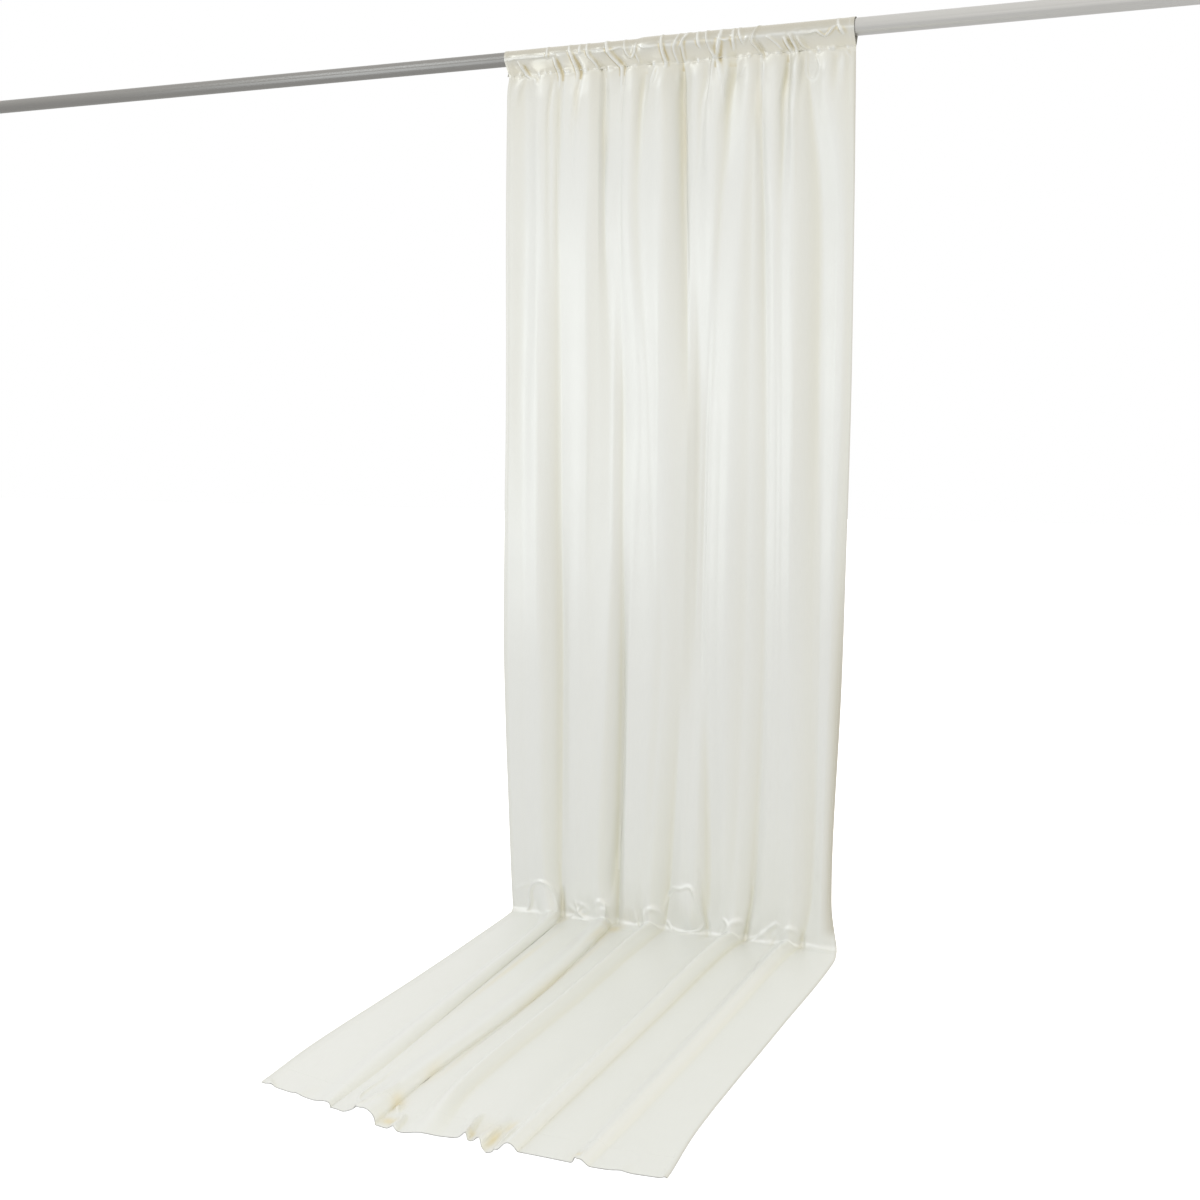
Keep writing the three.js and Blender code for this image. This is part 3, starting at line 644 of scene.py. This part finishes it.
# The whole cloth as one grid, from the back of the pocket to the hem
panelWays = rowWays(wayOfRun(hemRun))
grid = panelGrid(panelWays)
pocketPoints = pocketGrid(grid[0])
climb = np.diff(np.concatenate([pocketPoints, grid[:1]]), axis=0)
pocketSteps = np.linalg.norm(climb, axis=-1).mean(axis=1)
pocketWays = -np.cumsum(pocketSteps[::-1])[::-1]
across = acrossCloth(grid)
grid = np.concatenate([pocketPoints, grid])
ways = np.concatenate([pocketWays, panelWays])
drawnIn = {"by": 5 * mm, "reach": 0.022, "width": 0.040}  # the left edge, at the seam
nearEdge = (1 - smooth(share(across, 0, drawnIn["width"])))[None, :]
grid[:, :, 0] += drawnIn["by"] * np.exp(-((ways / drawnIn["reach"]) ** 2))[:, None] * nearEdge
seamRow = len(pocketWays)
folded = np.where(ways < 0, -np.minimum(-ways, ways - ways[0]), ways)  # the back repeats the front
lift = clothRelief(grid, folded)
lift *= smooth(share(ways - ways[0], 0, pocket["backFade"]))[:, None]
onBar = smooth(share(-ways, *pocket["onBar"]))[:, None]
held = softFloor(lift, pocket["deepest"], pocket["deepestSoft"])
lift = held * onBar + lift * (1 - onBar)
grid = grid + gridNormals(grid) * lift[:, :, None]
grid[seamRow:, :, 2] = softFloor(grid[seamRow:, :, 2] - halfThick, 0, cloth["floorSoft"]) + halfThick
gridNormal = gridNormals(grid)
print("cloth:", grid.shape)

# Painted shade: hollows, and sides turned right, are tinted darker and warmer, standing in for light through
# the cloth and from its own folds
hollow = {
    # columns blurred over, depth at full warmth, warmth found everywhere, and the share of the whole
    "sizes": [(30, 9.0 * mm, 0.12, 0.5), (9, 3.0 * mm, 0.0, 0.45)],
    "soft": 2,  # columns that the sides and the result are blurred over
    "facing": (0.45, 0.30),  # warmer on sides turned right, away from the cooler light
    "rightward": (0.22, 0.40),
    "crest": (4, 0.6 * mm),
    "crestShare": 0.90,
}

# Painted shade on the pocket, where it lies double on the bar and lets less light through: how far it
# darkens (or warms) the satin, by the way from the seam in millimetres.
# A painted highlight runs as a lighter line along the front of the bar, and deep folds there get painted
# shade, darker and warmer.
doubled = {
    "ways": [-56, -48, -43.5, -38.5, -34.5, -31, -23, -8, 0, 5, 30, 60, 120, 180],
    "dark": [1.0, 0.96, 0.80, 0.56, 0.42, 0.36, 0.30, 0.12, 0.16, 0.22, 0.15, 0.04, 0, 0],
    "warm": [0, 0, 0, 0.02, 0.06, 0.15, 0.25, 0.38, 0.25, 0.18, 0.08, 0.08, 0.05, 0],
    "highlightLinePlace": (-0.0385, 0.0014, 0.018, 33),  # its way, how far that wanders, the pitch and the seed
    "highlightLineStrength": (0.80, 0.20, 0.011, 35),
    "highlightLineWidth": 0.0022,
    "foldBlur": 4,
    "foldDepth": 0.9 * mm,
    "foldPlace": (-0.012, 0.030),  # way in the middle of these folds, and how far they reach from it
    "foldDark": 0.75,
    "foldWarm": 0.90,
}


def blurred(values, reach):
    kernel = np.hanning(2 * reach + 3)[1:-1]
    kernel /= kernel.sum()
    padded = np.pad(values, ((0, 0), (reach, reach)), mode="edge")
    return np.array([np.convolve(row, kernel, mode="valid") for row in padded])


# Painted warm shade: darker and warmer in hollows and on sides turned away from the left lights
outward = np.where((ways < bendStart)[:, None], -grid[:, :, 1], grid[:, :, 2])
gridPaintedWarmShade = np.zeros(outward.shape)
for reach, depth, everywhere, part in hollow["sizes"]:
    gridPaintedWarmShade += part * np.clip((blurred(outward, reach) - outward) / depth + everywhere, 0, 1)
rightward = blurred(gridNormal[:, :, 0], hollow["soft"])
gridPaintedWarmShade *= np.clip(hollow["facing"][0] + rightward / hollow["facing"][1], 0, 1)
gridPaintedWarmShade += hollow["rightward"][0] * np.clip(rightward / hollow["rightward"][1], 0, 1)
gridPaintedWarmShade = blurred(np.clip(gridPaintedWarmShade, 0, 1), hollow["soft"])
# Crests are spared the painted pocket shade and glow, which leaves them as painted highlights
crest = np.clip((outward - blurred(outward, hollow["crest"][0])) / hollow["crest"][1], 0, 1)

foldMiddle, foldReach = doubled["foldPlace"]
fold = np.clip((blurred(outward, doubled["foldBlur"]) - outward) / doubled["foldDepth"], 0, 1)
fold *= (np.abs(ways - foldMiddle) < foldReach)[:, None]
dark, warm = (np.interp(folded / mm, doubled["ways"], doubled[k])[:, None] for k in ("dark", "warm"))
gridPaintedShade = np.maximum(dark * (1 - hollow["crestShare"] * crest), doubled["foldDark"] * fold)
gridPaintedGlow = np.maximum(warm * (1 - crest), doubled["foldWarm"] * fold)
highlightLinePlace, highlightLineStrength = (middle + most * unevenness(across, 0 * ways, (pitch, 1), seed)
                           for middle, most, pitch, seed in (doubled["highlightLinePlace"], doubled["highlightLineStrength"]))
# The lighter line along the front of the bar is a painted highlight
gridPaintedShade *= 1 - highlightLineStrength * np.exp(-(((ways[:, None] - highlightLinePlace) / doubled["highlightLineWidth"]) ** 2))

# Painted shade along the side edges, which turn back a little, and broadly low on the right: how far in from
# the edge it reaches, and how dark it gets
edges = {
    "left": (0.009, 0.35),
    "right": (0.008, 0.75),
    "lowRight": (0.046, 1.0),  # low on the panel, at the right
    "lowWays": (0.90, 1.40),  # where that begins and is full
    "lowEnd": (1.86, 1.89),
    "floor": (0.007, 0.6),
    "start": 0.010,  # below the seam
    "curve": 1.5,
}
belowSeam = (ways > edges["start"])[:, None]
above = 1 - smooth(share(ways, *edges["lowEnd"]))[:, None]
fromRight = across[-1] - across
low = smooth(share(ways, *edges["lowWays"]))[:, None]
for place, (width, most), amount in ((across, edges["left"], 1), (fromRight, edges["right"], 1 - low),
                                     (fromRight, edges["lowRight"], low * above),
                                     (fromRight, edges["floor"], 1)):
    paintedEdgeShade = most * np.clip(1 - place / width, 0, 1)[None, :] ** edges["curve"] * amount
    gridPaintedShade = np.maximum(gridPaintedShade, paintedEdgeShade * belowSeam)

# Painted glow and shade: spots tinted darker and orange where folded cloth lets warm light through: place
# across, way (mm), the two half widths and the amount
paintedGlowSpots = [
    (-124, 2918, 12, 22, 0.75), (-106, 2974, 14, 12, 1), (-126, 2790, 9, 34, 0.35),
    (-112, 2690, 5, 90, 0.3), (-226, 2250, 6, 190, 0.35), (-106, 2300, 5, 220, 0.4),
    (-122, 2010, 10, 60, 0.4), (84, 2958, 7, 28, 1), (90, 2905, 6, 22, 0.6), (44, 2976, 6, 12, 0.7),
    (64, 2945, 24, 32, 0.25), (233, 2976, 8, 12, 0.6), (-176, 2976, 10, 10, 0.4),
    (-258, 1888, 7, 30, 0.25), (-250, 1925, 9, 22, 0.3), (-116, 1940, 17, 24, 0.7),
    (186, 1905, 6, 26, 0.15), (314, 1905, 7, 24, 0.15), (26, 150, 6, 120, 0.45), (192, 90, 7, 60, 0.3),
    (-218, 60, 9, 50, 0.3), (250, 60, 8, 60, 0.3), (26, 40, 5, 40, 0.4), (-156, 130, 8, 60, 0.2),
]
for place, way, halfAcross, halfDown, amount in paintedGlowSpots:
    spread = ((grid[:, :, 0] - place * mm) / (halfAcross * mm)) ** 2
    spread += ((ways[:, None] - way * mm) / (halfDown * mm)) ** 2
    gridPaintedGlow = np.maximum(gridPaintedGlow, amount * np.exp(-spread))

# Every column is kept near the seam and over the bar's front, every second one further down, and every
# fourth where the rows are wide apart or at the back
fineness = {"from": -0.078, "to": 0.042, "backEnd": -0.090, "coarsePitch": 4.3 * mm, "seamRows": 3}
stride = np.where(np.gradient(ways) > fineness["coarsePitch"], coarseColumns, middleColumns)
stride[(ways > fineness["from"]) & (ways < fineness["to"])] = fineColumns
stride[ways < fineness["backEnd"]] = coarseColumns
stride[:fineness["seamRows"]] = coarseColumns

headingRow = int(np.searchsorted(ways, cloth["headingDepth"]))
hemRow = int(np.searchsorted(ways, ways[-1] - cloth["hemDepth"]))
heading = clothPiece("curtainHeading", 0, headingRow, cloth["thickness"])
panel = clothPiece("curtainPanel", headingRow, hemRow, cloth["thickness"])
hem = clothPiece("curtainHem", hemRow, len(ways) - 1, cloth["thickness"] + cloth["hemStep"])


# Inputs of a node by their names, each given a value or another node's output
def setInputs(tree, node, inputs):
    for name, value in inputs.items():
        if isinstance(value, bpy.types.NodeSocket):
            tree.links.new(value, node.inputs[name])
        else:
            node.inputs[name].default_value = value


# A new node with its inputs and its own settings; gives back the output that is wanted of it
def addNode(tree, kind, wanted, inputs={}, **settings):
    node = tree.nodes.new(kind)
    for name, value in settings.items():
        setattr(node, name, value)
    setInputs(tree, node, inputs)
    return node.outputs[wanted]


def mixed(tree, amount, first, second, **settings):
    inputs = {"Factor": amount, "A": first, "B": second}
    return addNode(tree, "ShaderNodeMix", "Result", inputs, data_type="RGBA", **settings)


def ranged(tree, value, to=(0, 1), start=(0, 1), **settings):
    inputs = {"Value": value, "From Min": start[0], "From Max": start[1], "To Min": to[0], "To Max": to[1]}
    return addNode(tree, "ShaderNodeMapRange", "Result", inputs, **settings)


def fineLines(tree, vector, scale, detail):
    place = addNode(tree, "ShaderNodeMapping", "Vector", {"Vector": vector, "Scale": scale})
    return addNode(tree, "ShaderNodeTexNoise", "Fac", {"Vector": place, "Scale": 1, "Detail": detail})


def bumped(tree, height, strength, depth):
    inputs = {"Height": height, "Strength": strength, "Distance": depth}
    return addNode(tree, "ShaderNodeBump", "Normal", inputs)


def newMaterial(name):
    material = bpy.data.materials.new(name)
    material.use_nodes = True
    return material, material.node_tree, material.node_tree.nodes["Principled BSDF"]


satin = {
    "lightThread": (0.850, 0.860, 0.836, 1),
    "darkThread": (0.812, 0.820, 0.790, 1),
    "streaks": (900, 30, 1),  # to the metre, across and along the cloth
    "bump": (0.25, 0.1 * mm),
    "hollowShadeTint": (0.965, 0.935, 0.810, 1),  # painted shade in the hollows, for light through the cloth and from its folds
    "paintedShadeTint": (0.700, 0.664, 0.590, 1),  # painted shade, where it lies double on the bar, and along the edges
    "paintedGlowTint": (0.975, 0.880, 0.660, 1),  # painted glow, for light through several layers
    "clouds": 9,
    "roughness": (0.34, 0.46),
    "pocketGloss": 0.58,  # share of the roughness left on the pocket, which is drawn tight
    "glossFade": (-0.030, 0.012),  # heights from the seam where that begins and is full
    "shader": {"Metallic": 0.38, "Specular IOR Level": 0.6, "Anisotropic": 0.75, "Sheen Weight": 0.15,
               "Sheen Roughness": 0.4},
}


def satinMaterial():
    material, tree, shader = newMaterial("ivorySatin")
    uv = addNode(tree, "ShaderNodeUVMap", "UV", uv_map="weave")
    streaks = fineLines(tree, uv, satin["streaks"], 3)
    colour = mixed(tree, streaks, satin["darkThread"], satin["lightThread"])
    for attribute, tint in (("warmth", "hollowShadeTint"), ("doubled", "paintedShadeTint"), ("glow", "paintedGlowTint")):
        amount = addNode(tree, "ShaderNodeAttribute", "Fac", attribute_name=attribute)
        colour = mixed(tree, amount, colour, satin[tint], blend_type="MULTIPLY")
    height = addNode(tree, "ShaderNodeSeparateXYZ", "Y", {"Vector": uv})
    onPocket = ranged(tree, height, start=satin["glossFade"], interpolation_type="SMOOTHSTEP")
    cloud = addNode(tree, "ShaderNodeTexNoise", "Fac", {"Vector": uv, "Scale": satin["clouds"], "Detail": 4})
    rough = ranged(tree, cloud, satin["roughness"])
    gloss = ranged(tree, onPocket, (1, satin["pocketGloss"]))
    setInputs(tree, shader, {
        "Base Color": colour,
        "Roughness": addNode(tree, "ShaderNodeMath", "Value", {0: rough, 1: gloss}, operation="MULTIPLY"),
        "Normal": bumped(tree, streaks, *satin["bump"]),
        "Tangent": addNode(tree, "ShaderNodeTangent", "Tangent", direction_type="UV_MAP", uv_map="weave"),
        **satin["shader"],
    })
    return material


metal = {
    # The slim tube's darker tone is a painted reflection, standing in for the darker part of the room its
    # metal reflects
    "slimTone": (0.305, 0.300, 0.290, 1),
    "wideTone": (0.600, 0.595, 0.580, 1),
    "brush": (3, 700, 700),  # lines to the metre, along the bar and round it
    "roughness": (0.26, 0.42),
    "bump": (0.15, 0.05 * mm),
}


def crossbarMaterial():
    material, tree, shader = newMaterial("brushedAluminium")
    place = addNode(tree, "ShaderNodeTexCoord", "Object")
    lines = fineLines(tree, place, metal["brush"], 4)
    along = addNode(tree, "ShaderNodeSeparateXYZ", "X", {"Vector": place})
    step = origin[0] + bar["stepX"]
    onWide = ranged(tree, along, start=(step - 1 * mm, step + 1 * mm))
    setInputs(tree, shader, {
        "Base Color": mixed(tree, onWide, metal["slimTone"], metal["wideTone"]),
        "Roughness": ranged(tree, lines, metal["roughness"]),
        "Normal": bumped(tree, lines, *metal["bump"]),
        "Metallic": 1,
    })
    return material


# Stitches along the seam, the hem line and the side hems, placed by Geometry Nodes. The first six
# settings are inputs of the tree, and the thread's material is the last one.
stitch = {
    "pitch": 4.6 * mm,
    "length": 1.5 * mm,  # half of one stitch
    "radius": 0.30 * mm,
    "least": 0.88,  # the shortest and longest, as shares of the length
    "most": 1.12,
    "seed": 11,
    "proud": 0.04 * mm,
    "sides": 6,
    "rings": 4,
    "hemLine": 0.068,  # from the hem's edge
    "colour": (0.84, 0.845, 0.81, 1),
    "roughness": 0.5,
}


def stitchMaterial():
    material, tree, shader = newMaterial("ivoryThread")
    setInputs(tree, shader, {"Base Color": stitch["colour"], "Roughness": stitch["roughness"]})
    return material


def stitchLines():
    proud = halfThick + stitch["proud"]
    proud = np.where(ways >= ways[hemRow], proud + cloth["hemStep"] / 2, proud)
    surface = grid + gridNormal * proud[:, None, None] + origin
    hemStitches = int(np.argmin(np.abs(ways - (ways[-1] - stitch["hemLine"]))))
    sides = [int(np.argmin(np.abs(across - u))) for u in (cloth["sideHem"], across[-1] - cloth["sideHem"])]
    return [surface[seamRow], surface[hemStitches]] + [surface[seamRow:, column] for column in sides]


def stitchTree():
    tree = bpy.data.node_groups.new("stitching", "GeometryNodeTree")
    sockets = {"Lines": "Geometry", "Pitch": "Float", "Length": "Float", "Radius": "Float",
               "Least": "Float", "Most": "Float", "Seed": "Int", "Thread": "Material"}
    for name, kind in sockets.items():
        tree.interface.new_socket(name, in_out="INPUT", socket_type="NodeSocket" + kind)
    tree.interface.new_socket("Stitches", in_out="OUTPUT", socket_type="NodeSocketGeometry")
    given = tree.nodes.new("NodeGroupInput").outputs
    curve = addNode(tree, "GeometryNodeMeshToCurve", "Curve", {"Mesh": given["Lines"]})
    even = addNode(tree, "GeometryNodeResampleCurve", "Curve",
                   {"Curve": curve, "Length": given["Pitch"]}, mode="LENGTH")
    along = addNode(tree, "GeometryNodeInputTangent", "Tangent")
    paintedEdgeShade = addNode(tree, "FunctionNodeAlignRotationToVector", "Rotation", {"Vector": along}, axis="Z")
    bead = addNode(tree, "GeometryNodeMeshUVSphere", "Mesh",
                   {"Segments": stitch["sides"], "Rings": stitch["rings"], "Radius": 1})
    size = addNode(tree, "ShaderNodeCombineXYZ", "Vector",
                   {"X": given["Radius"], "Y": given["Radius"], "Z": given["Length"]})
    chance = addNode(tree, "FunctionNodeRandomValue", 1,
                     {2: given["Least"], 3: given["Most"], "Seed": given["Seed"]}, data_type="FLOAT")
    uneven = addNode(tree, "ShaderNodeVectorMath", "Vector", {0: size, "Scale": chance}, operation="SCALE")
    placed = addNode(tree, "GeometryNodeInstanceOnPoints", "Instances",
                     {"Points": even, "Instance": bead, "Rotation": paintedEdgeShade, "Scale": uneven})
    real = addNode(tree, "GeometryNodeRealizeInstances", "Geometry", {"Geometry": placed})
    dyed = addNode(tree, "GeometryNodeSetMaterial", "Geometry",
                   {"Geometry": real, "Material": given["Thread"]})
    setInputs(tree, tree.nodes.new("NodeGroupOutput"), {"Stitches": dyed})
    return tree


def sewn():
    places, edges = [], []
    for line in stitchLines():
        start = len(places)
        places += line.tolist()
        edges += [(k, k + 1) for k in range(start, len(places) - 1)]
    mesh = bpy.data.meshes.new("curtainStitches")
    mesh.from_pydata(places, edges, [])
    made = addObject("curtainStitches", mesh)
    tree = stitchTree()
    modifier = made.modifiers.new("stitches", "NODES")
    modifier.node_group = tree
    stitch["thread"] = stitchMaterial()
    for socket in tree.interface.items_tree:
        if socket.name.lower() in stitch:
            modifier[socket.identifier] = stitch[socket.name.lower()]
    settle(made).shade_smooth()
    print("curtainStitches", len(made.data.polygons), "faces")
    return made


stitches = sewn()
ivory = satinMaterial()
for piece in (panel, heading, hem):
    piece.data.materials.clear()
    piece.data.materials.append(ivory)
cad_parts["crossbar"].material_slots[0].material = crossbarMaterial()
print("materials done")

# Studio: pale floor, soft lights and the camera
studio = {
    "floorSize": 30.0,
    "floorDrop": 0.3 * mm,
    "floorTone": (0.5, 0.5, 0.5, 1),
    "floorRoughness": 0.9,
    "floorGlow": 0.25,  # of the white floor, on the cloth
    "lowSky": 0.87,  # the white room near the horizon, on the cloth
    "highSky": 1.02,
    "skyBand": (0.25, 0.65),
    "skyColour": (1.0, 0.989, 0.962, 1),
    "white": (1, 1, 1, 1),
    "aim": (0.0, 0.0, 1.2),
}


def studioFloor():
    half, low = studio["floorSize"] / 2, -studio["floorDrop"]
    mesh = bpy.data.meshes.new("studioFloor")
    corners = [(-half, -half, low), (half, -half, low), (half, half, low), (-half, half, low)]
    mesh.from_pydata(corners, [], [(0, 1, 2, 3)])
    material, tree, shader = newMaterial("paleFloor")
    seen = addNode(tree, "ShaderNodeLightPath", "Is Camera Ray")
    setInputs(tree, shader, {
        "Base Color": studio["floorTone"],
        "Roughness": studio["floorRoughness"],
        "Emission Color": studio["white"],
        "Emission Strength": ranged(tree, seen, (studio["floorGlow"], 1)),
    })
    mesh.materials.append(material)
    return addObject("studioFloor", mesh)


def studioSky():
    world = bpy.data.worlds.new("studio")
    world.use_nodes = True
    bpy.context.scene.world = world
    tree = world.node_tree
    seen = addNode(tree, "ShaderNodeLightPath", "Is Camera Ray")
    way = addNode(tree, "ShaderNodeTexCoord", "Generated")
    up = addNode(tree, "ShaderNodeSeparateXYZ", "Z", {"Vector": way})
    light = ranged(tree, up, (studio["lowSky"], studio["highSky"]), studio["skyBand"],
                   interpolation_type="SMOOTHSTEP")
    setInputs(tree, tree.nodes["Background"], {
        "Color": mixed(tree, seen, studio["skyColour"], studio["white"]),
        "Strength": ranged(tree, seen, (light, 1)),
    })


def softLight(name, place, size, power, colour):
    light = bpy.data.lights.new(name, "AREA")
    light.color = colour
    light.shape = "RECTANGLE"
    light.size, light.size_y = size
    light.energy = power
    lamp = addObject(name, light)
    lamp.location = np.array(place) + origin
    x, y, z = np.subtract(place, studio["aim"])
    lamp.rotation_euler = (math.atan2(math.hypot(x, y), z), 0, math.atan2(x, -y))


# Each light's place, size and power, and its colour, a little cool on the left
coolWhite, plainWhite = (0.90, 0.96, 1), (1, 1, 1)
lights = [
    ("lowLeft", (-1.7, -1.8, 1.2), (1.0, 1.4), 5, coolWhite),
    ("highLeft", (-2.0, -2.2, 3.2), (0.8, 0.8), 5, coolWhite),
    ("front", (0.4, -3.8, 1.7), (1.6, 1.8), 2.5, plainWhite),
    ("sideRight", (2.6, 0.5, 1.3), (1.6, 1.8), 9, plainWhite),
]

view = {
    "place": (1.1302, -3.2354, 1.1592),
    "down": math.radians(6.6753),
    "azimuth": math.radians(21.8121),
    "lens": 46.620,
    "sensor": 36,
    "farthest": 100,
}


def studioCamera():
    camera = bpy.data.cameras.new("camera")
    camera.lens = view["lens"]
    camera.sensor_width = view["sensor"]
    camera.clip_end = view["farthest"]
    seen = addObject("camera", camera)
    seen.location = np.array(view["place"]) + origin
    seen.rotation_euler = (math.pi / 2 - view["down"], 0, view["azimuth"])
    bpy.context.scene.camera = seen


floor = studioFloor()
studioSky()
for light in lights:
    softLight(*light)
studioCamera()
bpy.context.scene.view_settings.view_transform = "Standard"
print("studio done")

for piece in (panel, heading, hem, stitches):
    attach(piece, "root")
    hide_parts("curtain")
